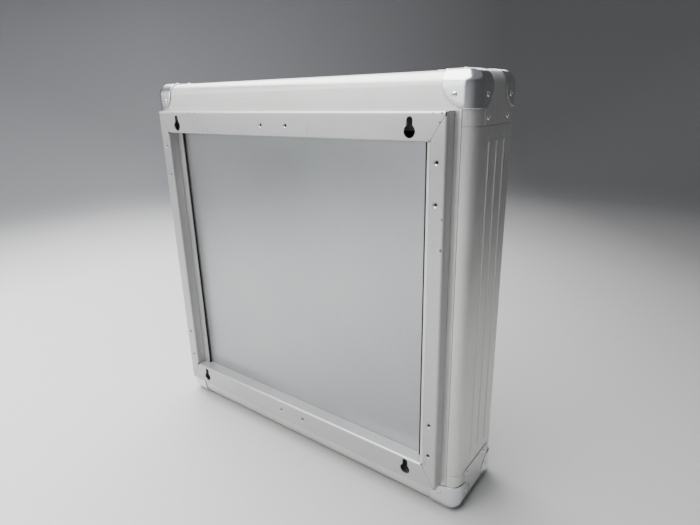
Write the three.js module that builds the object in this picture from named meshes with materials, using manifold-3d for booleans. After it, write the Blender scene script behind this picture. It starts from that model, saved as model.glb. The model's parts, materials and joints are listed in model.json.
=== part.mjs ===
// A lighted advertising sign. A flat square box of anodised aluminium profiles has pressed caps and
// riveted straps on its corners, a lit face on one side and a folded mounting frame with keyholes on the
// other. One side of the box is a cover, and the face insert slides out with it.
//
// Millimetres. +Z is up, the lit face looks along -Y, the mounting frame is on the +Y side, and the side
// that opens is -X, called the service side. The other side is called the blind side.
import * as THREE from "three";
import { mergeVertices } from "three/addons/utils/BufferGeometryUtils.js";
import { RoundedBoxGeometry } from "three/addons/geometries/RoundedBoxGeometry.js";
import Module from "manifold-3d";

const wasm = await Module();
wasm.setup();

// Driving dimensions.
const WIDTH = 534; // outside of the box, along X
const DEPTH = 110; // along Y
const HEIGHT = 535; // along Z
const EDGE_RADIUS = 15; // of every outside edge of the box
const WALL = 2; // of the profiles
const GAP = 0.3; // left between pieces that touch
const SEAM = 0.5; // of the open joints round the cover
const COVER_LEG = 15.2; // the cover laps this far onto the back and the front
const END_LENGTH = 55; // of the fixed piece at each end of the cover
const REAR_LIP = 53.5; // rim of the back opening at the two sides
const REAR_LIP_RAIL = 60; // and at the top and the bottom
const FRONT_LIP = 57; // rim of the front opening
const PANEL_RECESS = 4.7; // back panel below the back of the profiles
const FRAME_INSET_SIDE = 23; // mounting frame in from the side of the box
const FRAME_INSET_TOP = 39;
const FRAME_INSET_BOTTOM = 37;
const FRAME_DEPTH = 15.8; // it stands this far off the box
const FRAME_SHEET = 1.5;
const FRAME_BEND = 3; // outside radius of its folds
const RAIL_WIDTH = 31;
const STILE_WIDTH = 20;
const CAP_REACH = 38.6; // of a corner cap's lobes, from the corner
const CAP_CENTRE = 12; // the lobes are arcs about a point this far in from all three faces
const CAP_SHEET = 1.2;
const STRAP_WIDTH = 69;
const STRAP_SHEET = 0.7;
const SHEET_GAP = 0.1; // caps and straps are this far off the box
const RIVET_INSET = 24; // of a cap's rivets, from its two nearest edges
const RIVET_RADIUS = 3.1;

const left = -WIDTH / 2;
const right = WIDTH / 2;
const back = DEPTH / 2;
const front = -DEPTH / 2;
const middle = HEIGHT / 2;
const beyond = 40; // how far cutting blocks run past what they cut
const frameFace = back + FRAME_DEPTH;
const frameLeft = left + FRAME_INSET_SIDE;
const frameRight = right - FRAME_INSET_SIDE;
const frameBottom = FRAME_INSET_BOTTOM;
const frameTop = HEIGHT - FRAME_INSET_TOP;

const metal = (color, roughness) => new THREE.MeshStandardMaterial({ color, roughness, metalness: 1 });
const plain = (color, roughness) => new THREE.MeshStandardMaterial({ color, roughness, metalness: 0 });
const anodised = metal(0xd4d3d0, 0.38);
const polished = metal(0xdfe2e6, 0.12);
const painted = plain(0xb9babb, 0.45);
const sheetMetal = metal(0xc9ccce, 0.3);
const rubber = plain(0x101112, 0.8);
const acrylic = plain(0xf2f1ea, 0.25);
const film = plain(0xe9e6dc, 0.35);
const whitePaint = plain(0xf0f0ec, 0.5);
const plastic = plain(0x24272b, 0.5);
const boardGreen = plain(0xe6ead8, 0.6);

// Solids: closed three.js meshes that can be joined and cut.

function solid(geometry) {
  const closed = new THREE.BufferGeometry();
  closed.setAttribute("position", geometry.getAttribute("position"));
  closed.setIndex(geometry.getIndex());
  const merged = mergeVertices(closed, 1e-4);
  const vertProperties = merged.getAttribute("position").array;
  const triVerts = new Uint32Array(merged.getIndex().array);
  return new wasm.Manifold(new wasm.Mesh({ numProp: 3, vertProperties, triVerts }));
}

function joined(solids) {
  return solids.reduce((whole, next) => whole.add(next));
}

function block([x0, x1], [y0, y1], [z0, z1]) {
  const geometry = new THREE.BoxGeometry(x1 - x0, y1 - y0, z1 - z0);
  return solid(geometry.translate((x0 + x1) / 2, (y0 + y1) / 2, (z0 + z1) / 2));
}

// A shape extruded by `length`. Its own x runs along `across`, its y along `up`, and it grows along the
// cross product of the two.
function extruded(shape, length, origin, across, up) {
  const options = { depth: length, bevelEnabled: false, curveSegments: 6 };
  const along = new THREE.Vector3().crossVectors(across, up);
  const place = new THREE.Matrix4().makeBasis(across, up, along).setPosition(...origin);
  return solid(new THREE.ExtrudeGeometry(shape, options).applyMatrix4(place));
}

const X = new THREE.Vector3(1, 0, 0);
const Y = new THREE.Vector3(0, 1, 0);
const Z = new THREE.Vector3(0, 0, 1);

function outline(points) {
  return new THREE.Shape(points.map(([x, y]) => new THREE.Vector2(x, y)));
}

// A prism through the whole depth of the sign whose outline is given as [x, z] points.
function throughPrism(points, y0 = front - beyond, y1 = frameFace + beyond) {
  const flipped = points.map(([x, z]) => [z, x]);
  return extruded(outline(flipped), y1 - y0, [0, y0, 0], Z, X);
}

function rod(axis, centre, radius, length, segments = 20) {
  const geometry = new THREE.CylinderGeometry(radius, radius, length, segments);
  geometry.applyQuaternion(new THREE.Quaternion().setFromUnitVectors(Y, axis));
  return solid(geometry.translate(...centre));
}

function tube(points, radius, steps) {
  const path = new THREE.CatmullRomCurve3(points.map((p) => new THREE.Vector3(...p)), false, "centripetal");
  const section = new THREE.Shape().absarc(0, 0, radius, 0, 2 * Math.PI);
  return solid(new THREE.ExtrudeGeometry(section, { steps, extrudePath: path, curveSegments: 4 }));
}

// The outside of the box, moved outwards by `offset`, with its rounded edges and corners.
function boxBody(offset) {
  const sizes = [WIDTH, DEPTH, HEIGHT].map((size) => size + 2 * offset);
  const geometry = new RoundedBoxGeometry(...sizes, 3, EDGE_RADIUS + offset);
  return solid(geometry.translate(0, 0, middle));
}

function boxSkin(inner, outer) {
  return boxBody(outer).subtract(boxBody(inner));
}

// The housing: one skin round the box, opened at the back and the front, and cut into its profiles.

const rearOpening = block(
  [left + REAR_LIP, right - REAR_LIP],
  [back - beyond, back + beyond],
  [REAR_LIP_RAIL, HEIGHT - REAR_LIP_RAIL],
);
const frontOpening = block(
  [left + FRONT_LIP, right - FRONT_LIP],
  [front - beyond, front + beyond],
  [FRONT_LIP, HEIGHT - FRONT_LIP],
);
const glandPlace = { x: right, y: 10, z: 86 };
const glandHole = rod(X, [glandPlace.x, glandPlace.y, glandPlace.z], 8.3, 20);
const skin = boxSkin(-WALL, 0).subtract(rearOpening).subtract(frontOpening).subtract(glandHole);

const coverEdge = left + COVER_LEG; // where the cover meets the strips
const stripStart = coverEdge + SEAM / 2;
const coverEnd = coverEdge - SEAM / 2;
const STRIP_END = 44; // the rear strip runs to this far from the top and the bottom
const stripLow = STRIP_END + GAP;
const stripHigh = HEIGHT - STRIP_END - GAP;
const mitreShift = SEAM / 2;

const rearStripZone = block(
  [stripStart, left + REAR_LIP],
  [back - WALL - GAP, back + beyond],
  [stripLow, stripHigh],
);
const frontStripZone = block(
  [stripStart, left + FRONT_LIP],
  [front - beyond, front + WALL + GAP],
  [FRONT_LIP + GAP, HEIGHT - FRONT_LIP - GAP],
);
// The zones round the strips, a little larger, that the top and the bottom profile leave free.
const stripRoom = joined([
  block([left, left + REAR_LIP], [0, back + beyond], [STRIP_END, HEIGHT - STRIP_END]),
  block([left, left + FRONT_LIP], [front - beyond, 0], [FRONT_LIP, HEIGHT - FRONT_LIP]),
]);

// A profile runs from the service side's seam to a 45 degree mitre at the blind side.
function longProfile(top) {
  const mirror = (z) => (top ? z : HEIGHT - z);
  const zone = throughPrism([
    [stripStart, HEIGHT + beyond],
    [stripStart, middle + 1],
    [right - middle + 1 - mitreShift, middle + 1],
    [right + beyond - mitreShift, HEIGHT + beyond],
  ].map(([x, z]) => [x, mirror(z)]));
  return skin.intersect(zone).subtract(stripRoom);
}

function blindProfile() {
  const apex = right - middle + mitreShift;
  const zone = throughPrism([
    [apex, middle],
    [apex + middle + beyond, HEIGHT + beyond],
    [apex + middle + beyond, -beyond],
  ]);
  return skin.intersect(zone);
}

// A flat strip beside the back opening, with a ledge that closes the joint between it and the cover.
function rearStrip() {
  const LEDGE_SHEET = 1.5;
  const LEDGE_INSET = 12; // of the ledge's ends, from the strip's
  const ledgeFront = back - 2 * WALL - 2 * GAP;
  const z = [stripLow + LEDGE_INSET, stripHigh - LEDGE_INSET];
  const ledge = block([coverEdge - 3, coverEdge + 6], [ledgeFront, ledgeFront + LEDGE_SHEET], z);
  const web = block([coverEdge + 1, coverEdge + 6], [ledgeFront, back - WALL / 2], z);
  return joined([skin.intersect(rearStripZone), ledge, web]);
}

// What wraps round the service side: two fixed ends, and the cover between them.
function wrap(z0, z1) {
  return skin.intersect(block([left - beyond, coverEnd], [front - beyond, back + beyond], [z0, z1]));
}

// Three fine ribs run down the cover, each with a small dimple past its upper end.
const RIB_PITCH = 21;
const RIB_CENTRE = -1.5;
const RIB_WIDTH = 1.6;
const RIB_HEIGHT = 0.8;
const RIB_INSET = 72; // of a rib's ends, from the top and the bottom
const DIMPLE_RADIUS = 1.5;
const DIMPLE_DEPTH = 1.3;
const DIMPLE_PLACE = [3.3, 4.7]; // behind the rib's middle, and above its end

function serviceCover() {
  let cover = wrap(END_LENGTH + SEAM / 2, HEIGHT - END_LENGTH - SEAM / 2);
  const [dimpleBehind, dimpleAbove] = DIMPLE_PLACE;
  for (const step of [-1, 0, 1]) {
    const y = RIB_CENTRE + step * RIB_PITCH;
    const ribAcross = [y - RIB_WIDTH / 2, y + RIB_WIDTH / 2];
    const rib = block([left - RIB_HEIGHT, left + WALL / 2], ribAcross, [RIB_INSET, HEIGHT - RIB_INSET]);
    const dimplePlace = [left, y + dimpleBehind, HEIGHT - RIB_INSET + dimpleAbove];
    const dimple = rod(X, dimplePlace, DIMPLE_RADIUS, 2 * DIMPLE_DEPTH, 12);
    cover = cover.add(rib).subtract(dimple);
  }
  return cover;
}

// Corner caps and straps.

// A rivet's head as [radius, height] points, from just inside the sheet to its top.
const rivetProfile = [
  [0, -0.5],
  [RIVET_RADIUS, -0.5],
  [RIVET_RADIUS, 0.2],
  [RIVET_RADIUS * 0.6, 0.95],
  [0, 1],
];

function rivet(centre, normal) {
  const geometry = new THREE.LatheGeometry(rivetProfile.map(([r, h]) => new THREE.Vector2(r, h)), 8);
  geometry.applyQuaternion(new THREE.Quaternion().setFromUnitVectors(Y, normal));
  return solid(geometry.translate(...centre));
}

const capSurface = SHEET_GAP + CAP_SHEET;
const capSkin = boxSkin(SHEET_GAP, capSurface);
const capBallRadius = Math.hypot(CAP_REACH - CAP_CENTRE, CAP_CENTRE + capSurface);

// A point in from the faces of one corner of the box by [ix, iy, iz]. The corner is given as three signs.
function cornerPoint([sx, sy, sz], [ix, iy, iz]) {
  return [sx * (WIDTH / 2 - ix), sy * (DEPTH / 2 - iy), middle + sz * (HEIGHT / 2 - iz)];
}

function capBall(corner, radius) {
  const centre = cornerPoint(corner, [CAP_CENTRE, CAP_CENTRE, CAP_CENTRE]);
  return solid(new THREE.SphereGeometry(radius, 32, 16).translate(...centre));
}

function sorted(a, b) {
  return [Math.min(a, b), Math.max(a, b)];
}

// A shell with three round lobes, one on each face of the corner, and a rivet through each lobe.
function cornerCap(corner) {
  const [sx, sy, sz] = corner;
  const outside = cornerPoint(corner, [-beyond, -beyond, -beyond]);
  const boxCentre = [0, 0, middle];
  const octant = outside.map((value, axis) => sorted(value, boxCentre[axis]));
  const shell = capSkin.intersect(capBall(corner, capBallRadius)).intersect(block(...octant));
  const flat = -capSurface;
  return joined([
    shell,
    rivet(cornerPoint(corner, [RIVET_INSET, flat, RIVET_INSET]), Y.clone().multiplyScalar(sy)),
    rivet(cornerPoint(corner, [flat, RIVET_INSET, RIVET_INSET]), X.clone().multiplyScalar(sx)),
    rivet(cornerPoint(corner, [RIVET_INSET, RIVET_INSET, flat]), Z.clone().multiplyScalar(sz)),
  ]);
}

const strapSurface = SHEET_GAP + STRAP_SHEET;
const strapSkin = boxSkin(SHEET_GAP, strapSurface);
const STRAP_RIVET_SPREAD = 26; // each side of the strap's middle
const STRAP_RIVET_INSET = 46.6; // from the corner
const strapReach = END_LENGTH - SEAM;

// A strap goes round the corner between two caps, and two rivets hold each of its ends.
function cornerStrap(sx, sz) {
  const x = sorted(sx * (WIDTH / 2 - strapReach), sx * (WIDTH / 2 + beyond));
  const z = sorted(middle + sz * (HEIGHT / 2 - strapReach), middle + sz * (HEIGHT / 2 + beyond));
  let strap = strapSkin.intersect(block(x, [-STRAP_WIDTH / 2, STRAP_WIDTH / 2], z));
  const inset = DEPTH / 2 - STRAP_RIVET_SPREAD;
  for (const sy of [-1, 1]) {
    const corner = [sx, sy, sz];
    const onSide = cornerPoint(corner, [-strapSurface, inset, STRAP_RIVET_INSET]);
    const onEnd = cornerPoint(corner, [STRAP_RIVET_INSET, inset, -strapSurface]);
    strap = strap
      .subtract(capBall(corner, capBallRadius + GAP))
      .add(rivet(onSide, X.clone().multiplyScalar(sx)))
      .add(rivet(onEnd, Z.clone().multiplyScalar(sz)));
  }
  return strap;
}

// The mounting frame: four folded channels that open towards the box and meet in mitres.

const KEYHOLE_INSET = 43.5; // from the frame's side
const KEYHOLE_RADIUS = 7;
const KEYHOLE_SLOT_RADIUS = 3.8;
const KEYHOLE_LENGTH = 11.5; // from the circle's centre to the slot end's centre
const KEYHOLE_BELOW_TOP = 20.5; // the circle's centre, on the top rail
const KEYHOLE_ABOVE_BOTTOM = 13.5;
const HOLE_RADIUS = 1.8;
const COUNTERSINK_RADIUS = 3.2;
const COUNTERSINK_DEPTH = 1.1;
const RAIL_HOLE_SPREAD = 22; // each side of a rail's middle
const RAIL_HOLE_BELOW_TOP = 17;
const RAIL_HOLE_ABOVE_BOTTOM = 16;
const STILE_HOLE_INSET = 11; // from the frame's side
const STILE_HOLES_BELOW_TOP = [51, 95];
const STILE_HOLES_ABOVE_BOTTOM = [48, 92];
const RELIEF_RADIUS = 2.1;
const CORNER_NOTCH_INSET = 1.2; // of the notch in the service side's top corner
const CORNER_NOTCH_WIDTH = 1.6;
const CORNER_NOTCH_LENGTH = 5;

function channel(width) {
  const r = FRAME_BEND;
  const t = FRAME_SHEET;
  const depth = FRAME_DEPTH - GAP;
  const shape = new THREE.Shape();
  shape.moveTo(0, 0);
  shape.lineTo(0, depth - r);
  shape.absarc(r, depth - r, r, Math.PI, Math.PI / 2, true);
  shape.absarc(width - r, depth - r, r, Math.PI / 2, 0, true);
  shape.lineTo(width, 0);
  shape.lineTo(width - t, 0);
  shape.absarc(width - r, depth - r, r - t, 0, Math.PI / 2, false);
  shape.absarc(r, depth - r, r - t, Math.PI / 2, Math.PI, false);
  shape.lineTo(t, 0);
  shape.closePath();
  return shape;
}

function throughFace(x, z, radius) {
  return rod(Y, [x, frameFace, z], radius, 4 * FRAME_SHEET, 24);
}

function keyhole(x, z) {
  const slotTop = z + KEYHOLE_LENGTH;
  const slot = block(
    [x - KEYHOLE_SLOT_RADIUS, x + KEYHOLE_SLOT_RADIUS],
    [frameFace - 2 * FRAME_SHEET, frameFace + 2 * FRAME_SHEET],
    [z, slotTop],
  );
  return joined([slot, throughFace(x, z, KEYHOLE_RADIUS), throughFace(x, slotTop, KEYHOLE_SLOT_RADIUS)]);
}

// A small hole with a countersink, whose wide end is level with the frame's face.
function countersunk(x, z) {
  const radiusAbove = 2 * COUNTERSINK_RADIUS - HOLE_RADIUS; // the cone runs on, past the face
  const cone = new THREE.CylinderGeometry(radiusAbove, HOLE_RADIUS, 2 * COUNTERSINK_DEPTH, 24);
  return solid(cone.translate(x, frameFace, z)).add(throughFace(x, z, HOLE_RADIUS));
}

// A small round relief at each inner corner of the frame, and a notch in one outer corner.
function cornerReliefs() {
  const cuts = [block(
    [frameLeft + CORNER_NOTCH_INSET, frameLeft + CORNER_NOTCH_INSET + CORNER_NOTCH_WIDTH],
    [frameFace - 3 * FRAME_SHEET, frameFace + FRAME_SHEET],
    [frameTop - CORNER_NOTCH_LENGTH, frameTop + FRAME_SHEET],
  )];
  for (const x of [frameLeft + STILE_WIDTH, frameRight - STILE_WIDTH]) {
    cuts.push(throughFace(x, frameTop - RAIL_WIDTH, RELIEF_RADIUS));
    cuts.push(throughFace(x, frameBottom + RAIL_WIDTH, RELIEF_RADIUS));
  }
  return joined(cuts);
}

const frameMouth = back + GAP;
const frameLength = frameRight - frameLeft;
const frameHeight = frameTop - frameBottom;
const frameReliefs = cornerReliefs();

// A rail's inner wall reaches past the rim of the back opening, down to the back panel.
function frameRail(top) {
  const outer = top ? frameTop : frameBottom;
  const inner = top ? frameTop - RAIL_WIDTH : frameBottom + RAIL_WIDTH;
  const low = Math.min(outer, inner);
  let rail = extruded(channel(RAIL_WIDTH), frameLength, [frameRight, frameMouth, low], Z, Y);
  rail = rail.intersect(throughPrism([
    [frameLeft + mitreShift, outer],
    [frameRight - mitreShift, outer],
    [frameRight - STILE_WIDTH - mitreShift, inner],
    [frameLeft + STILE_WIDTH + mitreShift, inner],
  ]));
  const wall = top ? [inner, inner + FRAME_SHEET] : [inner - FRAME_SHEET, inner];
  const reach = right - gasketInner - GAP;
  rail = rail.add(block([-reach, reach], [back - PANEL_RECESS + GAP, frameMouth + 2], wall));
  const keyholeZ = top ? frameTop - KEYHOLE_BELOW_TOP : frameBottom + KEYHOLE_ABOVE_BOTTOM;
  const holeZ = top ? frameTop - RAIL_HOLE_BELOW_TOP : frameBottom + RAIL_HOLE_ABOVE_BOTTOM;
  const cuts = [frameReliefs];
  for (const sx of [-1, 1]) {
    cuts.push(keyhole(sx * (frameRight - KEYHOLE_INSET), keyholeZ));
    cuts.push(countersunk(sx * RAIL_HOLE_SPREAD, holeZ));
  }
  return rail.subtract(joined(cuts));
}

function frameStile(sx) {
  const outer = sx * frameRight;
  const inner = sx * (frameRight - STILE_WIDTH);
  const low = Math.min(outer, inner);
  let stile = extruded(channel(STILE_WIDTH), frameHeight, [low, frameMouth, frameBottom], X, Y);
  stile = stile.intersect(throughPrism([
    [outer + sx * mitreShift, frameTop],
    [outer + sx * mitreShift, frameBottom],
    [inner + sx * mitreShift, frameBottom + RAIL_WIDTH],
    [inner + sx * mitreShift, frameTop - RAIL_WIDTH],
  ]));
  const holeX = sx * (frameRight - STILE_HOLE_INSET);
  const heights = [
    ...STILE_HOLES_BELOW_TOP.map((below) => frameTop - below),
    ...STILE_HOLES_ABOVE_BOTTOM.map((above) => frameBottom + above),
  ];
  return stile.subtract(joined([frameReliefs, ...heights.map((z) => countersunk(holeX, z))]));
}

// An angle plate behind each corner of the frame, on two posts that carry the frame on the box.
function frameCornerBlock(sx, top) {
  const PLATE_INSET = 5; // from the outside of the frame
  const PLATE_SHEET = 2;
  const POST_INSET = 5; // from the plate's edges
  const ARM_WIDTH = STILE_WIDTH - 2 * PLATE_INSET;
  const RAIL_ARM = 28;
  const STILE_ARM = 37;
  const POST_RADIUS = 4;
  const face = frameFace - FRAME_SHEET - GAP;
  const x0 = sx * (frameRight - PLATE_INSET);
  const z0 = top ? frameTop - PLATE_INSET : frameBottom + PLATE_INSET;
  const sz = top ? -1 : 1;
  const plate = [face - PLATE_SHEET, face];
  const postLength = face - PLATE_SHEET / 2 - frameMouth;
  const post = (x, z) => rod(Y, [x, frameMouth + postLength / 2, z], POST_RADIUS, postLength, 16);
  return joined([
    block(sorted(x0, x0 - sx * RAIL_ARM), plate, sorted(z0, z0 + sz * ARM_WIDTH)),
    block(sorted(x0, x0 - sx * ARM_WIDTH), plate, sorted(z0, z0 + sz * STILE_ARM)),
    post(x0 - sx * (RAIL_ARM - POST_INSET), z0 + sz * POST_INSET),
    post(x0 - sx * POST_INSET, z0 + sz * (STILE_ARM - POST_INSET)),
  ]);
}

// The back panel lies inside the rim, on a strip of black foam on each side.

const panelBack = back - PANEL_RECESS;
const PANEL_SHEET = 1.5;
const PANEL_END = 50; // the panel's ends, from the top and the bottom of the box
const panelFront = panelBack - PANEL_SHEET;
const GASKET_WIDTH = 12;
const GASKET_SHOWN = 2.4; // of its width, inside the rim
const GASKET_PAST_RIM = 6; // of the side gaskets' ends, and of the other gaskets' hidden edges
const gasketInner = REAR_LIP + GASKET_SHOWN; // its inner edge, from the side of the box
const panelEdge = right - gasketInner + GASKET_WIDTH + 2;
const gasketDepth = [panelBack + GAP, back - WALL - GAP];

function sideGasket(sx) {
  const x = sorted(sx * (right - gasketInner), sx * (right - gasketInner + GASKET_WIDTH));
  const past = REAR_LIP_RAIL - GASKET_PAST_RIM;
  return block(x, gasketDepth, [past, HEIGHT - past]);
}

function railGasket(top) {
  const SHOWN = 4;
  const low = [REAR_LIP_RAIL - GASKET_PAST_RIM, REAR_LIP_RAIL + SHOWN];
  const reach = right - gasketInner - GAP;
  return block([-reach, reach], gasketDepth, top ? [HEIGHT - low[1], HEIGHT - low[0]] : low);
}

// The face insert: a graphic sheet and an opal panel, held in guides, and clipped to the cover.

const GRAPHIC_SHEET = 0.8;
const FACE_SHEET = 3;
const SHEET_PLAY = 0.2; // round each sheet
const CLIP_SHEET = 1.2;
const CLIP_OVERLAP = 8; // of the clip's walls on the sheets
const GUIDE_FRONT_SHEET = 1.1;
const GUIDE_SHEET = 1.7;
const sheetLow = END_LENGTH + 1;
const sheetHigh = HEIGHT - END_LENGTH - 1;
const sheetStart = coverEdge + 3.2;
const sheetEnd = right - 44;
const clipFront = front + WALL + GAP;
const graphicFront = clipFront + CLIP_SHEET + SHEET_PLAY;
const graphicBack = graphicFront + GRAPHIC_SHEET;
const panelNear = graphicBack + SHEET_PLAY;
const panelFar = panelNear + FACE_SHEET;
const clipBack = panelFar + SHEET_PLAY + CLIP_SHEET;

function insertClip() {
  const z = [sheetLow + 2, sheetHigh - 2];
  const start = coverEdge - CLIP_SHEET;
  const wallEnd = sheetStart + CLIP_OVERLAP;
  return joined([
    block([start, sheetStart - GAP], [clipFront, clipBack], z),
    block([start, wallEnd], [clipFront, clipFront + CLIP_SHEET], z),
    block([start, wallEnd], [clipBack - CLIP_SHEET, clipBack], z),
  ]);
}

const guideStart = sheetStart + CLIP_OVERLAP + 2;
const guideBack = panelFar + GAP + 1.5;
const guideFrontWall = [clipFront, clipFront + GUIDE_FRONT_SHEET];
const guideBackWall = [panelFar + GAP, guideBack];

function railGuide(top) {
  const mirror = (range) => (top ? range : range.map((z) => HEIGHT - z).reverse());
  const x = [guideStart, sheetEnd - 2];
  const web = sheetHigh + GAP;
  return joined([
    block(x, [clipFront, guideBack], mirror([web, web + GUIDE_SHEET])),
    block(x, guideFrontWall, mirror([sheetHigh - 3.5, sheetHigh + 1])),
    block(x, guideBackWall, mirror([sheetHigh - 8, sheetHigh + 1])),
  ]);
}

function farGuide() {
  const z = [sheetLow + 1, sheetHigh - 1];
  return joined([
    block([sheetEnd + GAP, sheetEnd + GAP + GUIDE_SHEET], [clipFront, guideBack], z),
    block([sheetEnd - 1, sheetEnd + 1], guideFrontWall, z),
    block([sheetEnd - 1, sheetEnd + 1], guideBackWall, z),
  ]);
}

// The light: strips on the back panel, their driver, the terminal block and the leads between them.

const LIGHT_COUNT = 4;
const LIGHT_PITCH = 100;
const lightLow = 132;
const lightHigh = 448;
const behindPanel = panelFront - GAP;

function lightBarPlace(index) {
  return (index - (LIGHT_COUNT - 1) / 2) * LIGHT_PITCH;
}

function lightBar(index) {
  const x = lightBarPlace(index);
  const across = (width) => [x - width / 2, x + width / 2];
  const carrier = block(across(16), [behindPanel - 2, behindPanel], [lightLow, lightHigh]);
  const lens = block(across(7), [behindPanel - 6, behindPanel - 1], [lightLow + 6, lightHigh - 6]);
  return carrier.add(lens);
}

const driver = { x: [40, 150], y: [behindPanel - 26, behindPanel], z: [72, 108] };
const terminal = { x: [186, 212], y: [behindPanel - 17, behindPanel], z: [74, 96] };

function ledDriver() {
  const EAR = 9; // it sticks out this far at each end
  const [x0, x1] = driver.x;
  const [z0, z1] = driver.z;
  const ears = block([x0 - EAR, x1 + EAR], [behindPanel - 2, behindPanel], [z0 + 6, z1 - 6]);
  const body = block(driver.x, driver.y, driver.z);
  const holes = [x0 - EAR / 2, x1 + EAR / 2].map((x) => rod(Y, [x, behindPanel, (z0 + z1) / 2], 2, 10, 12));
  return body.add(ears).subtract(joined(holes));
}

function terminalBlock() {
  const POLE_PITCH = 7;
  const middlePole = (terminal.x[0] + terminal.x[1]) / 2;
  const screwHeight = terminal.z[1] - 6;
  let body = block(terminal.x, terminal.y, terminal.z);
  for (const step of [-1, 0, 1]) {
    body = body.subtract(rod(Y, [middlePole + step * POLE_PITCH, terminal.y[0], screwHeight], 2, 8, 12));
  }
  return body;
}

function cableGland() {
  const { x, y, z } = glandPlace;
  const at = (offset) => [x + offset, y, z];
  return joined([
    rod(X, at(1.5 + GAP), 12, 3, 6),
    rod(X, at(7), 9, 12, 24),
    rod(X, at(-2), 8, 14, 24),
    rod(X, at(-WALL - GAP - 2), 11, 4, 6),
  ]).subtract(rod(X, at(0), 4, 60, 16));
}

function driverLead() {
  const y = driver.y[0] + 12;
  const [start, end] = [driver.x[1] + GAP, terminal.x[0] - GAP];
  const entry = terminal.y[0] + 6;
  const points = [[start, y, 94], [start + 8, y, 94], [end - 8, entry, 86], [end, entry, 86]];
  return tube(points, 2.2, 12).intersect(block([start, end], [0, back], [0, middle]));
}

function lightLead() {
  const y = behindPanel - 3.5;
  const z = lightLow - 8;
  const first = lightBarPlace(0);
  const last = lightBarPlace(LIGHT_COUNT - 1);
  const bus = rod(X, [(first + last) / 2, y, z], 1.6, last - first, 10);
  const start = driver.x[0] - GAP;
  const feedPoints = [
    [start, y - 8, 90],
    [start - 10, y - 8, 90],
    [start - 22, y - 3, z - 8],
    [start - 24, y, z],
  ];
  const feed = tube(feedPoints, 1.8, 12).intersect(block([first, start], [0, back], [0, middle]));
  const drops = [];
  for (let index = 0; index < LIGHT_COUNT; index += 1) {
    const length = lightLow - GAP - z;
    drops.push(rod(Z, [lightBarPlace(index), y, z + length / 2], 1.6, length, 10));
  }
  return joined([bus, feed, ...drops]);
}

// The object.

const sign = new THREE.Group();

function add(name, made, material) {
  const { vertProperties, triVerts } = made.getMesh();
  const geometry = new THREE.BufferGeometry();
  geometry.setAttribute("position", new THREE.BufferAttribute(vertProperties, 3));
  geometry.setIndex(new THREE.BufferAttribute(triVerts, 1));
  geometry.computeVertexNormals();
  const mesh = new THREE.Mesh(geometry, material);
  mesh.name = name;
  sign.add(mesh);
}

add("housing_top", longProfile(true), anodised);
add("housing_bottom", longProfile(false), anodised);
add("housing_blind_side", blindProfile(), anodised);
add("side_strip_rear", rearStrip(), anodised);
add("side_strip_front", skin.intersect(frontStripZone), anodised);
add("side_end_top", wrap(HEIGHT - END_LENGTH + SEAM / 2, HEIGHT + beyond), anodised);
add("side_end_bottom", wrap(-beyond, END_LENGTH - SEAM / 2), anodised);
add("service_cover", serviceCover(), anodised);

const sides = [["service", -1], ["blind", 1]];
const faces = [["front", -1], ["rear", 1]];
const ends = [["bottom", -1], ["top", 1]];
for (const [side, sx] of sides) {
  for (const [end, sz] of ends) {
    for (const [face, sy] of faces) {
      add(`corner_cap_${face}_${side}_${end}`, cornerCap([sx, sy, sz]), polished);
    }
    add(`corner_strap_${side}_${end}`, cornerStrap(sx, sz), anodised);
    add(`frame_corner_block_${side}_${end}`, frameCornerBlock(sx, sz > 0), sheetMetal);
  }
  add(`frame_stile_${side}`, frameStile(sx), painted);
  add(`gasket_${side}`, sideGasket(sx), rubber);
}
for (const [end, sz] of ends) {
  add(`frame_rail_${end}`, frameRail(sz > 0), painted);
  add(`gasket_${end}`, railGasket(sz > 0), rubber);
  add(`guide_${end}`, railGuide(sz > 0), anodised);
}
const panelHeight = [PANEL_END, HEIGHT - PANEL_END];
add("back_panel", block([-panelEdge, panelEdge], [panelFront, panelBack], panelHeight), sheetMetal);
add("guide_far", farGuide(), anodised);
add("insert_clip", insertClip(), anodised);
add("graphic_sheet", block([sheetStart, sheetEnd], [graphicFront, graphicBack], [sheetLow, sheetHigh]), film);
add("face_panel", block([sheetStart, sheetEnd], [panelNear, panelFar], [sheetLow, sheetHigh]), acrylic);
for (let index = 0; index < LIGHT_COUNT; index += 1) {
  add(`light_bar_${index + 1}`, lightBar(index), boardGreen);
}
add("led_driver", ledDriver(), whitePaint);
add("terminal_block", terminalBlock(), plastic);
add("cable_gland", cableGland(), plastic);
add("driver_lead", driverLead(), plastic);
add("light_lead", lightLead(), plastic);

// The origin is under the middle of the whole sign, on the surface that it stands on.
const bounds = new THREE.Box3().setFromObject(sign);
const centre = bounds.getCenter(new THREE.Vector3());
sign.position.set(-centre.x, -centre.y, -bounds.min.z);

export default sign;
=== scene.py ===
"""The looks of a lighted advertising sign seen from behind: materials, fine pieces, studio and camera."""

import json
import math

import bmesh
import bpy
from mathutils import Matrix, Vector


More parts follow.
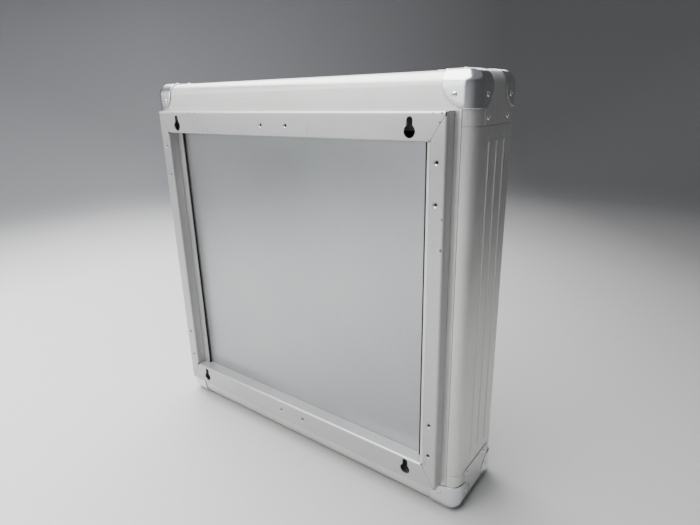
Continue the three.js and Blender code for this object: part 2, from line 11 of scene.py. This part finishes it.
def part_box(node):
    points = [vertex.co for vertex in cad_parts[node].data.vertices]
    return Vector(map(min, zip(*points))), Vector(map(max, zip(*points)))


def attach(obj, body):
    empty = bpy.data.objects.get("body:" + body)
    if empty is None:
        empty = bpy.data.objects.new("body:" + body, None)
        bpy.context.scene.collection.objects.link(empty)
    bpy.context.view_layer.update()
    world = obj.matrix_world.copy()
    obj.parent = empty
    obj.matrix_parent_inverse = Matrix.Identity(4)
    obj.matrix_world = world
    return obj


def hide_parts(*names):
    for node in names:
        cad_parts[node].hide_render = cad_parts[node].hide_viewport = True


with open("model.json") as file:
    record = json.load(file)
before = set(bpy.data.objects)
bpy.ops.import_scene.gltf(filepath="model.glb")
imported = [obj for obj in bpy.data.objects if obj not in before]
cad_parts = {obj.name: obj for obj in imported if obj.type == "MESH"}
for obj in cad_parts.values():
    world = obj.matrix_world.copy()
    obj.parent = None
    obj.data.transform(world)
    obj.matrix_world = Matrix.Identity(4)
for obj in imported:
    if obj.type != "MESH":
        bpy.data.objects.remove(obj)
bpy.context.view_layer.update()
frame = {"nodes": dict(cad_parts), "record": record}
nodes = frame["nodes"]

MM = 0.001

# The box of profiles, read off the frame. These sizes repeat the CAD's, in millimetres.
EDGE_RADIUS = 15
GAP = 0.3
SHEET_GAP = 0.1
CAP_SHEET = 1.2
CAP_REACH = 38.6
CAP_CENTRE = 12
STRAP_SHEET = 0.7
STRAP_WIDTH = 69
STRAP_REACH = 54.5
RIVET_INSET = 24
RIVET_RADIUS = 3.1
STRAP_RIVET_SPREAD = 26
STRAP_RIVET_INSET = 46.6
RIB_HEIGHT = 0.8 * MM
cover_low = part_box("service_cover")[0]
bottom_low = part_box("housing_bottom")[0]
top_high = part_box("housing_top")[1]
blind_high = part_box("housing_blind_side")[1]
box_low = Vector((cover_low.x + RIB_HEIGHT, bottom_low.y, bottom_low.z))
box_high = Vector((blind_high.x, top_high.y, top_high.z))
box_centre = (box_low + box_high) / 2
box_size = box_high - box_low


# Materials. Each is a small node tree on object coordinates. Numbers that don't vary stay on the shader.


class Paint:
    """Builds one material: a Principled shader, and short calls that add nodes to it."""

    def __init__(self, name, **sockets):
        self.material = bpy.data.materials.new(name)
        self.material.use_nodes = True
        self.tree = self.material.node_tree
        self.shader = self.tree.nodes["Principled BSDF"]
        for socket, value in sockets.items():
            self.shader.inputs[socket.replace("_", " ")].default_value = value
        self.place = self.tree.nodes.new("ShaderNodeTexCoord").outputs["Object"]

    def link(self, out, socket):
        self.tree.links.new(out, socket)

    def stretched(self, scale):
        mapping = self.tree.nodes.new("ShaderNodeMapping")
        mapping.inputs["Scale"].default_value = scale
        self.link(self.place, mapping.inputs["Vector"])
        return mapping.outputs["Vector"]

    def noise(self, scale, stretch=(1, 1, 1), detail=3, distortion=0):
        node = self.tree.nodes.new("ShaderNodeTexNoise")
        node.inputs["Scale"].default_value = scale
        node.inputs["Detail"].default_value = detail
        node.inputs["Distortion"].default_value = distortion
        self.link(self.stretched(stretch), node.inputs["Vector"])
        return node.outputs["Fac"]

    def ramp(self, value, low, high, *stops):
        """Maps value between low and high onto colours or greys, spaced evenly."""
        node = self.tree.nodes.new("ShaderNodeValToRGB")
        colours = [stop if isinstance(stop, tuple) else (stop, stop, stop) for stop in stops]
        ramp = node.color_ramp
        while len(ramp.elements) < len(colours):
            ramp.elements.new(0.5)
        for index, colour in enumerate(colours):
            ramp.elements[index].position = low + (high - low) * index / (len(colours) - 1)
            ramp.elements[index].color = (*colour, 1)
        self.link(value, node.inputs["Fac"])
        return node.outputs["Color"]

    def mix(self, factor, a, b, mode="MIX"):
        node = self.tree.nodes.new("ShaderNodeMix")
        node.data_type = "RGBA"
        node.blend_type = mode
        for value, socket in ((factor, node.inputs[0]), (a, node.inputs[6]), (b, node.inputs[7])):
            if isinstance(value, (int, float)) and socket.type == "VALUE":
                socket.default_value = value
            elif isinstance(value, tuple):
                socket.default_value = (*value, 1)
            else:
                self.link(value, socket)
        return node.outputs[2]

    def maths(self, operation, a, b=0.0, c=0.0):
        node = self.tree.nodes.new("ShaderNodeMath")
        node.operation = operation
        for value, socket in zip((a, b, c), node.inputs):
            if isinstance(value, (int, float)):
                socket.default_value = value
            else:
                self.link(value, socket)
        return node.outputs[0]

    def spot(self, centre, radius):
        """A ragged spot round a point of the object, as a mask."""
        away = self.tree.nodes.new("ShaderNodeVectorMath")
        away.operation = "DISTANCE"
        away.inputs[1].default_value = centre
        self.link(self.place, away.inputs[0])
        ragged = self.maths("MULTIPLY_ADD", self.noise(900), 1.2 * radius, away.outputs["Value"])
        return self.maths("LESS_THAN", ragged, 1.6 * radius)

    def colour(self, out):
        self.link(out, self.shader.inputs["Base Color"])

    def rough(self, out):
        self.link(out, self.shader.inputs["Roughness"])

    def bump(self, height, strength, distance):
        node = self.tree.nodes.new("ShaderNodeBump")
        node.inputs["Strength"].default_value = strength
        node.inputs["Distance"].default_value = distance
        self.link(height, node.inputs["Height"])
        self.link(node.outputs["Normal"], self.shader.inputs["Normal"])


def satin_aluminium(name, tone, low_rough, high_rough, grain_stretch):
    paint = Paint(name, Metallic=0.74)
    cloud = paint.noise(5, detail=4)
    grain = paint.noise(900, grain_stretch, detail=2)
    light = tuple(min(1, part * 1.05) for part in tone)
    dark = tuple(part * 0.9 for part in tone)
    base = paint.ramp(cloud, 0.35, 0.65, dark, light)
    paint.colour(paint.mix(0.12, base, paint.ramp(grain, 0.3, 0.7, 0.35, 1.0), "MULTIPLY"))
    paint.rough(paint.ramp(cloud, 0.3, 0.7, low_rough, high_rough))
    paint.bump(grain, 0.12, 0.02 * MM)
    return paint.material


def cap_steel():
    paint = Paint("cap_steel", Metallic=1.0)
    cloud = paint.noise(18, detail=3)
    grain = paint.noise(700, (1, 1, 0.15), detail=2)
    paint.colour(paint.ramp(cloud, 0.3, 0.7, (0.64, 0.65, 0.67), (0.74, 0.75, 0.76)))
    paint.rough(paint.ramp(cloud, 0.3, 0.7, 0.19, 0.26))
    paint.bump(grain, 0.08, 0.02 * MM)
    return paint.material


def scuff_places():
    """Chips of the frame's paint, near the outer bends of the top rail and the service stile."""
    rail_low, rail_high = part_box("frame_rail_top")
    stile_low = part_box("frame_stile_service")[0]
    top = rail_high.z - 2 * MM
    face = rail_high.y
    return [
        ((rail_low.x + 6 * MM, face, top), 1.3 * MM),
        ((rail_low.x + 16 * MM, face, top), 1.0 * MM),
        ((rail_low.x + 8 * MM, face, top - 9 * MM), 1.1 * MM),
        ((rail_high.x - 74 * MM, face, top), 1.0 * MM),
        ((rail_high.x - 88 * MM, face, top), 1.0 * MM),
        ((stile_low.x + 3 * MM, face, stile_low.z + 315 * MM), 1.6 * MM),
        ((stile_low.x + 3 * MM, face, stile_low.z + 349 * MM), 1.1 * MM),
    ]


def frame_paint():
    paint = Paint("frame_paint", Metallic=0.6, IOR=1.45)
    cloud = paint.noise(7, detail=4)
    peel = paint.noise(1400, detail=2)
    scuffs = paint.noise(60, (1, 1, 0.25), detail=5, distortion=1.5)
    base = paint.ramp(cloud, 0.3, 0.7, (0.41, 0.41, 0.415), (0.47, 0.47, 0.465))
    marks = paint.maths("MULTIPLY", paint.ramp(scuffs, 0.68, 0.74, 0.0, 1.0), 0.35)
    for place, radius in scuff_places():
        marks = paint.maths("MAXIMUM", marks, paint.spot(place, radius))
    paint.colour(paint.mix(marks, base, (0.12, 0.12, 0.12)))
    paint.rough(paint.ramp(cloud, 0.3, 0.7, 0.3, 0.4))
    paint.bump(peel, 0.1, 0.03 * MM)
    return paint.material


def back_sheet():
    paint = Paint("back_sheet", Metallic=0.88)
    cloud = paint.noise(3, detail=3)
    grain = paint.noise(800, (1, 1, 0.03), detail=2)
    base = paint.ramp(cloud, 0.35, 0.65, (0.36, 0.375, 0.385), (0.42, 0.43, 0.435))
    paint.colour(paint.mix(0.08, base, paint.ramp(grain, 0.3, 0.7, 0.4, 1.0), "MULTIPLY"))
    paint.rough(paint.ramp(cloud, 0.3, 0.7, 0.28, 0.34))
    paint.bump(grain, 0.08, 0.02 * MM)
    return paint.material


LIGHT_SPACING = 12.5 * MM


def light_bar():
    """A milky strip with a warm spot over each of its lights."""
    paint = Paint("light_bar")
    split = paint.tree.nodes.new("ShaderNodeSeparateXYZ")
    paint.link(paint.place, split.inputs[0])
    wave = paint.maths("SINE", paint.maths("MULTIPLY", split.outputs["Z"], 2 * math.pi / LIGHT_SPACING))
    spots = paint.ramp(wave, 0.6, 0.95, 0.0, 1.0)
    milk = paint.ramp(paint.noise(60), 0.3, 0.7, (0.74, 0.76, 0.71), (0.82, 0.83, 0.79))
    paint.colour(paint.mix(spots, milk, (0.85, 0.70, 0.28)))
    paint.rough(paint.ramp(paint.noise(400, detail=2), 0.3, 0.7, 0.35, 0.45))
    return paint.material


def plain_skin(name, dark, light, low_rough, high_rough, grain=400, **sockets):
    """For foam, plastics, lacquer and film: a mottled tone with a fine grain."""
    paint = Paint(name, **sockets)
    cloud = paint.noise(25, detail=3)
    fine = paint.noise(grain, detail=2)
    paint.colour(paint.ramp(cloud, 0.3, 0.7, dark, light))
    paint.rough(paint.ramp(fine, 0.3, 0.7, low_rough, high_rough))
    paint.bump(fine, 0.1, 0.03 * MM)
    return paint.material


ALUMINIUM = (0.69, 0.685, 0.67)
materials = {
    "anodised": satin_aluminium("anodised", ALUMINIUM, 0.32, 0.42, (0.03, 1, 1)),
    "anodised_upright": satin_aluminium("anodised_upright", ALUMINIUM, 0.32, 0.42, (1, 1, 0.03)),
    "cap_steel": cap_steel(),
    "rivet": plain_skin("rivet", (0.72, 0.72, 0.73), (0.82, 0.82, 0.83), 0.16, 0.24, Metallic=1.0),
    # Near black: partly the mandrel's dark steel, partly painted shade of the rivet's hollow.
    "mandrel_and_pit_shade": plain_skin("mandrel_and_pit_shade", (0.03, 0.03, 0.032), (0.07, 0.07, 0.07), 0.5, 0.65, Metallic=0.6),
    "frame_paint": frame_paint(),
    "back_sheet": back_sheet(),
    "gasket_foam": plain_skin("gasket_foam", (0.008, 0.008, 0.009), (0.018, 0.018, 0.02), 0.8, 0.95),
    "bracket_steel": plain_skin("bracket_steel", (0.5, 0.51, 0.52), (0.6, 0.6, 0.61), 0.3, 0.4, Metallic=0.9),
    "opal_acrylic": plain_skin("opal_acrylic", (0.84, 0.84, 0.82), (0.88, 0.88, 0.86), 0.1, 0.16),
    "graphic_film": plain_skin("graphic_film", (0.78, 0.77, 0.73), (0.83, 0.82, 0.78), 0.3, 0.38),
    "light_bar": light_bar(),
    "driver_case": plain_skin("driver_case", (0.80, 0.80, 0.78), (0.86, 0.86, 0.84), 0.35, 0.45),
    "black_plastic": plain_skin("black_plastic", (0.018, 0.019, 0.021), (0.03, 0.03, 0.032), 0.4, 0.55),
    "lead_sleeve": plain_skin("lead_sleeve", (0.018, 0.018, 0.02), (0.03, 0.03, 0.032), 0.45, 0.6),
}
WIDE_EDGED = ("service_cover", "side_end")
WIDE_EDGE = 0.55 * MM
FINE_EDGE = 0.3 * MM
STRAP_EDGE = 0.2 * MM
UPRIGHT = ("housing_blind_side", "side_strip", "side_end", "service_cover", "insert_clip", "guide_far")


# Finish of the CAD's own pieces: welded, with fine rounded edges and even shading.


def soften(piece, width):
    bevel = piece.modifiers.new("edges", "BEVEL")
    bevel.width = width
    bevel.segments = 2
    bevel.limit_method = "ANGLE"
    bevel.angle_limit = math.radians(35)
    bevel.use_clamp_overlap = True
    bevel.harden_normals = False
    normals = piece.modifiers.new("normals", "WEIGHTED_NORMAL")
    normals.keep_sharp = True


def finish_cad_node(name, node, slot):
    mesh = node.data
    if "custom_normal" in mesh.attributes:
        mesh.attributes.remove(mesh.attributes["custom_normal"])
    mesh.shade_smooth()
    weld = node.modifiers.new("weld", "WELD")
    weld.merge_threshold = 0.005 * MM
    flat = node.modifiers.new("flat", "DECIMATE")
    flat.decimate_type = "DISSOLVE"
    flat.angle_limit = math.radians(0.2)
    soften(node, WIDE_EDGE if name.startswith(WIDE_EDGED) else FINE_EDGE)
    upright = slot == "anodised" and name.startswith(UPRIGHT)
    mesh.materials.clear()
    mesh.materials.append(materials["anodised_upright" if upright else slot])


slots = {entry["node"]: entry["material_slot"] for entry in frame["record"]["subparts"]}
for name, node in nodes.items():
    if not name.startswith(("corner_cap", "corner_strap")):
        finish_cad_node(name, node, slots[name])


# Corner caps, straps and rivets. They are built on one corner of the box, in millimetres in from its three
# faces, and mirrored to the others.


RAY_REACH = 80.0  # millimetres, more than any ray inside a corner needs


def depth_under(point, offset):
    """Signed distance from a point, in millimetres in from a corner's faces, to the box grown by offset."""
    near = [EDGE_RADIUS - part for part in point]
    outside = math.sqrt(sum(max(part, 0) ** 2 for part in near))
    return outside + min(max(near), 0) - EDGE_RADIUS - offset


def surface_point(start, ray, offset):
    """Where a ray from start inside the box meets the box grown by offset, and how far that is."""
    low, high = 0.0, RAY_REACH
    for _ in range(36):
        middle = (low + high) / 2
        if depth_under([a + middle * b for a, b in zip(start, ray)], offset) < 0:
            low = middle
        else:
            high = middle
    return [a + low * b for a, b in zip(start, ray)], low


def corner_frame(signs):
    """Turns millimetres in from the faces of a corner, given as three signs, into a point of the frame."""
    corner = Vector(box_centre[axis] + sign * box_size[axis] / 2 for axis, sign in enumerate(signs))

    def place(point):
        return Vector(corner[axis] - signs[axis] * point[axis] * MM for axis in range(3))

    return place


def new_piece(name, mesh, piece_materials):
    """Makes an object of the housing from a bmesh."""
    bmesh.ops.remove_doubles(mesh, verts=mesh.verts, dist=1e-7)
    bmesh.ops.recalc_face_normals(mesh, faces=mesh.faces)
    data = bpy.data.meshes.new(name)
    mesh.to_mesh(data)
    mesh.free()
    data.shade_smooth()
    for material in piece_materials:
        data.materials.append(material)
    piece = bpy.data.objects.new(name, data)
    bpy.context.scene.collection.objects.link(piece)
    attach(piece, "housing")
    return piece


def skin_between(mesh, rings, closed_rings):
    """Joins each ring of vertices to the next with quads."""
    for ring, after in zip(rings, rings[1:]):
        count = len(ring)
        for index in range(count if closed_rings else count - 1):
            quad = [ring[index], ring[(index + 1) % count], after[(index + 1) % count], after[index]]
            if len(set(quad)) == 4:
                mesh.faces.new(quad)


CAP_TURNS = 96
CAP_RINGS = 18
CAP_EDGE = 0.7  # radius of the cap's rolled rim, in millimetres
ROLL_STEPS = 4


def cap_mesh(place):
    """A pressed cap: a shell over the corner, out to a ball about CAP_CENTRE, with a rolled rim."""
    surface = SHEET_GAP + CAP_SHEET
    ball = math.hypot(CAP_REACH - CAP_CENTRE, CAP_CENTRE + surface)
    start = [CAP_CENTRE] * 3
    axis = Vector((-1, -1, -1)).normalized()
    across = axis.orthogonal().normalized()
    side = axis.cross(across)

    def ray(turn, tilt):
        out = across * math.cos(turn) + side * math.sin(turn)
        return axis * math.cos(tilt) + out * math.sin(tilt)

    turns = [2 * math.pi * step / CAP_TURNS for step in range(CAP_TURNS)]
    limits = []
    for turn in turns:
        low, high = 0.2, 2.6
        for _ in range(30):
            middle = (low + high) / 2
            if surface_point(start, ray(turn, middle), surface)[1] < ball:
                low = middle
            else:
                high = middle
        limits.append(low)
    roll_width = 1.3 * CAP_EDGE / ball
    shares = [step / CAP_RINGS for step in range(1, CAP_RINGS)]

    def ring_at(tilts, offset):
        return [surface_point(start, ray(turn, tilt), offset)[0] for turn, tilt in zip(turns, tilts)]

    mesh = bmesh.new()
    outer = [ring_at([(limit - roll_width) * share for limit in limits], surface) for share in shares]
    inner = [ring_at([limit * share for limit in limits], SHEET_GAP) for share in reversed(shares)]
    roll = []
    for step in range(ROLL_STEPS + 1):
        bend = math.pi / 2 * step / ROLL_STEPS
        drop = CAP_EDGE * (1 - math.cos(bend))
        back_off = roll_width * (1 - math.sin(bend))
        roll.append(ring_at([limit - back_off for limit in limits], surface - drop))
    rim = ring_at(limits, SHEET_GAP)
    rings = [[mesh.verts.new(place(point)) for point in ring] for ring in [*outer, *roll, rim, *inner]]
    skin_between(mesh, rings, True)
    for ring, offset in ((rings[0], surface), (rings[-1], SHEET_GAP)):
        tip = mesh.verts.new(place(surface_point(start, ray(0, 0), offset)[0]))
        for index in range(CAP_TURNS):
            mesh.faces.new([ring[index], ring[(index + 1) % CAP_TURNS], tip])
    return mesh


STRAP_LEG_STEPS = 24
STRAP_BEND_STEPS = 10
STRAP_COLUMNS = 12


def edge_path(offset):
    """Points, in from the side and the top, that run along the side, round the edge and along the top."""
    radius = EDGE_RADIUS + offset
    leg = STRAP_REACH - EDGE_RADIUS
    shares = [step / STRAP_LEG_STEPS for step in range(1, STRAP_LEG_STEPS + 1)]
    path = [[-offset, EDGE_RADIUS + leg * share] for share in reversed(shares)]
    for step in range(STRAP_BEND_STEPS + 1):
        turn = math.pi / 2 * step / STRAP_BEND_STEPS
        path.append([EDGE_RADIUS - radius * math.cos(turn), EDGE_RADIUS - radius * math.sin(turn)])
    path += [[EDGE_RADIUS + leg * share, -offset] for share in shares]
    return path


def strap_mesh(place):
    """A strap round one edge of the box, trimmed round the two caps beside it."""
    surface = SHEET_GAP + STRAP_SHEET
    ball = math.hypot(CAP_REACH - CAP_CENTRE, CAP_CENTRE + SHEET_GAP + CAP_SHEET) + GAP
    half_depth = box_size.y / MM / 2
    mesh = bmesh.new()
    rings = []
    for (x, z), (inner_x, inner_z) in zip(edge_path(surface), edge_path(SHEET_GAP)):
        room = ball**2 - (x - CAP_CENTRE) ** 2 - (z - CAP_CENTRE) ** 2
        half = min(STRAP_WIDTH / 2, half_depth - CAP_CENTRE - math.sqrt(max(room, 0)))
        steps = range(STRAP_COLUMNS + 1)
        across = [half_depth + half * (2 * step / STRAP_COLUMNS - 1) for step in steps]
        ring = [mesh.verts.new(place([x, y, z])) for y in across]
        ring += [mesh.verts.new(place([inner_x, y, inner_z])) for y in reversed(across)]
        rings.append(ring)
    skin_between(mesh, rings, True)
    for ring in (rings[0], rings[-1]):
        for index in range(STRAP_COLUMNS):
            mesh.faces.new([ring[index], ring[index + 1], ring[-index - 2], ring[-index - 1]])
    return mesh


# A pop rivet's head as [radius, height], in millimetres: the mandrel's broken end, its pit, and the dome.
MANDREL = [(0, 0.42), (0.45, 0.40), (0.72, 0.30), (0.8, 0.12)]
PIT = [(0.98, 0.14), (1.02, 0.85), (1.12, 0.98), (1.3, 1.03)]
DOME = [(1.7, 0.98), (2.2, 0.8), (2.7, 0.5), (3.0, 0.25), (RIVET_RADIUS, 0.0)]
RIVET_SEGMENTS = 28


def add_rivet(mesh, place, centre, out):
    """A rivet's head at a point of a corner. It stands out along the axis of the box numbered `out`."""
    ways = [axis for axis in range(3) if axis != out]
    rings = []
    for radius, height in [*MANDREL, *PIT, *DOME, (RIVET_RADIUS - 0.3, -0.3)]:
        ring = []
        for step in range(RIVET_SEGMENTS):
            turn = 2 * math.pi * step / RIVET_SEGMENTS
            point = list(centre)
            point[ways[0]] += radius * math.cos(turn)
            point[ways[1]] += radius * math.sin(turn)
            point[out] -= height
            ring.append(point)
        rings.append([mesh.verts.new(place(point)) for point in ring])
    for number, (ring, after) in enumerate(zip(rings, rings[1:])):
        for index in range(RIVET_SEGMENTS):
            turned = (index + 1) % RIVET_SEGMENTS
            face = mesh.faces.new([ring[index], ring[turned], after[turned], after[index]])
            # The mandrel's end and the pit's floor get the near-black material: dark steel together with
            # painted shade.
            face.material_index = int(number < len(MANDREL))
    mesh.faces.new(rings[-1])


def make_corners():
    rivet_materials = [materials["rivet"], materials["mandrel_and_pit_shade"]]
    cap_surface = SHEET_GAP + CAP_SHEET
    strap_surface = SHEET_GAP + STRAP_SHEET
    strap_side = box_size.y / MM / 2 - STRAP_RIVET_SPREAD
    for side, sx in (("service", -1), ("blind", 1)):
        for end, sz in (("bottom", -1), ("top", 1)):
            rivets = bmesh.new()
            for face, sy in (("front", -1), ("rear", 1)):
                place = corner_frame((sx, sy, sz))
                name = f"corner_cap_{face}_{side}_{end}"
                cap_name = f"cap_shell_{face}_{side}_{end}"
                cap = new_piece(cap_name, cap_mesh(place), [materials["cap_steel"]])
                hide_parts(name)
                for axis in range(3):
                    centre = [RIVET_INSET] * 3
                    centre[axis] = -cap_surface
                    add_rivet(rivets, place, centre, axis)
                add_rivet(rivets, place, [-strap_surface, strap_side, STRAP_RIVET_INSET], 0)
                add_rivet(rivets, place, [STRAP_RIVET_INSET, strap_side, -strap_surface], 2)
            strap_made = strap_mesh(corner_frame((sx, -1, sz)))
            strap = new_piece(f"strap_{side}_{end}", strap_made, [materials["anodised_upright"]])
            soften(strap, STRAP_EDGE)
            strap.data.set_sharp_from_angle(angle=math.radians(50))
            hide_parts(f"corner_strap_{side}_{end}")
            heads = new_piece(f"rivets_{side}_{end}", rivets, rivet_materials)
            heads.data.set_sharp_from_angle(angle=math.radians(50))


make_corners()


# The foam strips beside the back panel. The blind side's is pressed in nearly level with its rim, and the
# service side's black foam reaches a little further over the panel; that extra width is painted shade beside
# the rim.

FOAM_STEPS = 60
FOAM_BULGE = 0.25 * MM


def foam_strip(side, outward, kept):
    """A strip with a bulging inner edge, `kept` times as wide as its CAD solid. Outward is a side's sign."""
    low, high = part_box(f"gasket_{side}")
    outer = high.x if outward > 0 else low.x
    start = outer - outward * (high.x - low.x) * kept + outward * FOAM_BULGE
    middle = (low.y + high.y) / 2
    bulge = (start - outward * FOAM_BULGE, middle)
    section = [(outer, low.y), (outer, high.y), (start, high.y), bulge, (start, low.y)]
    mesh = bmesh.new()
    rings = []
    for step in range(FOAM_STEPS + 1):
        z = low.z + (high.z - low.z) * step / FOAM_STEPS
        rings.append([mesh.verts.new((x, y, z)) for x, y in section])
    skin_between(mesh, rings, True)
    for ring in (rings[0], rings[-1]):
        mesh.faces.new(ring)
    foam = new_piece(f"foam_strip_{side}", mesh, [materials["gasket_foam"]])
    foam.data.set_sharp_from_angle(angle=math.radians(40))
    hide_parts(f"gasket_{side}")


foam_strip("blind", 1, 0.86)
# The service strip is drawn 1.08 times its CAD width: the extra dark width is painted shade, not foam.
foam_strip("service", -1, 1.08)


# Studio

# Painted shade: the paper is darkened towards this side, standing in for the shade that falls there.
PAINTED_SHADE_SIDE = (-0.75, -0.66, 0)  # the way in which the paper gets darker

def stage_material():
    """Pale paper round the sign. It falls off to a mid grey towards the wall, and painted shade makes it
    darker on one side.
    """
    paint = Paint("studio_paper", Roughness=0.8)
    length = paint.tree.nodes.new("ShaderNodeVectorMath")
    length.operation = "LENGTH"
    paint.link(paint.place, length.inputs[0])
    grain = paint.maths("MULTIPLY", paint.noise(1.5, detail=2), 0.04)
    reach = paint.maths("MULTIPLY_ADD", length.outputs["Value"], 0.4, grain)
    paper = paint.ramp(reach, 0.45, 1.1, (0.74, 0.74, 0.735), (0.31, 0.315, 0.33))
    aside = paint.tree.nodes.new("ShaderNodeVectorMath")
    aside.operation = "DOT_PRODUCT"
    aside.inputs[1].default_value = PAINTED_SHADE_SIDE
    paint.link(paint.place, aside.inputs[0])
    share = paint.maths("MULTIPLY_ADD", aside.outputs["Value"], 0.2, 0.5)
    # Painted shade: this ramp multiplies the paper darker towards the shaded side.
    shade = paint.ramp(share, 0.3, 0.75, 1.0, 0.62, 0.25)
    paint.colour(paint.mix(1.0, paper, shade, "MULTIPLY"))
    return paint.material


def make_floor():
    """A pale floor that sweeps up to a wall all round, far from the sign."""
    flat, rise, wall = 2.2, 0.8, 1.4
    profile = [(0.0, 0), (0.8, 0), (1.5, 0), (flat, 0)]
    for step in range(1, 9):
        turn = math.radians(90 * step / 8)
        profile.append((flat + rise * math.sin(turn), rise * (1 - math.cos(turn))))
    profile.append((flat + rise, rise + wall))
    mesh = bmesh.new()
    turns = [2 * math.pi * step / 96 for step in range(96)]
    rings = []
    for radius, z in profile:
        points = [(radius * math.cos(turn), radius * math.sin(turn), z) for turn in turns]
        rings.append([mesh.verts.new(point) for point in points])
    skin_between(mesh, rings, True)
    bmesh.ops.remove_doubles(mesh, verts=mesh.verts, dist=1e-6)
    bmesh.ops.recalc_face_normals(mesh, faces=mesh.faces)
    data = bpy.data.meshes.new("floor")
    mesh.to_mesh(data)
    mesh.free()
    data.shade_smooth()
    data.materials.append(stage_material())
    floor = bpy.data.objects.new("floor", data)
    bpy.context.scene.collection.objects.link(floor)


def area_light(name, place, aim, size, power):
    data = bpy.data.lights.new(name, "AREA")
    data.shape = "RECTANGLE"
    data.size, data.size_y = size
    data.energy = power
    lamp = bpy.data.objects.new(name, data)
    bpy.context.scene.collection.objects.link(lamp)
    lamp.location = place
    lamp.rotation_mode = "QUATERNION"
    lamp.rotation_quaternion = (Vector(aim) - Vector(place)).to_track_quat("-Z", "Y")


def make_world():
    world = bpy.data.worlds.new("studio")
    world.use_nodes = True
    backdrop = world.node_tree.nodes["Background"]
    backdrop.inputs["Color"].default_value = (0.80, 0.83, 0.88, 1)
    backdrop.inputs["Strength"].default_value = 0.3
    bpy.context.scene.world = world


def make_camera():
    camera = bpy.data.objects.new("camera", bpy.data.cameras.new("camera"))
    bpy.context.scene.collection.objects.link(camera)
    right = Vector((-0.79819, -0.60198, -0.02241))
    aim = Vector((0.57818, -0.75513, -0.30902))
    up = right.cross(aim)
    turn = Matrix((right, up, -aim)).transposed().to_4x4()
    camera.matrix_world = Matrix.Translation((-0.4867, 0.5374, 0.5136)) @ turn
    camera.data.sensor_width = 36
    camera.data.lens = 26.24
    camera.data.clip_start = 0.01
    bpy.context.scene.camera = camera


make_floor()
make_world()
area_light("overhead", (0.45, 0.25, 1.75), (0, 0, 0.3), (2.7, 1.5), 118)
area_light("key", (1.1, 1.75, 1.0), (0, 0, 0.45), (1.9, 1.1), 23)
area_light("far_panel", (1.2, -1.55, 1.45), (0, 0, 0.4), (2.4, 1.0), 22)
make_camera()
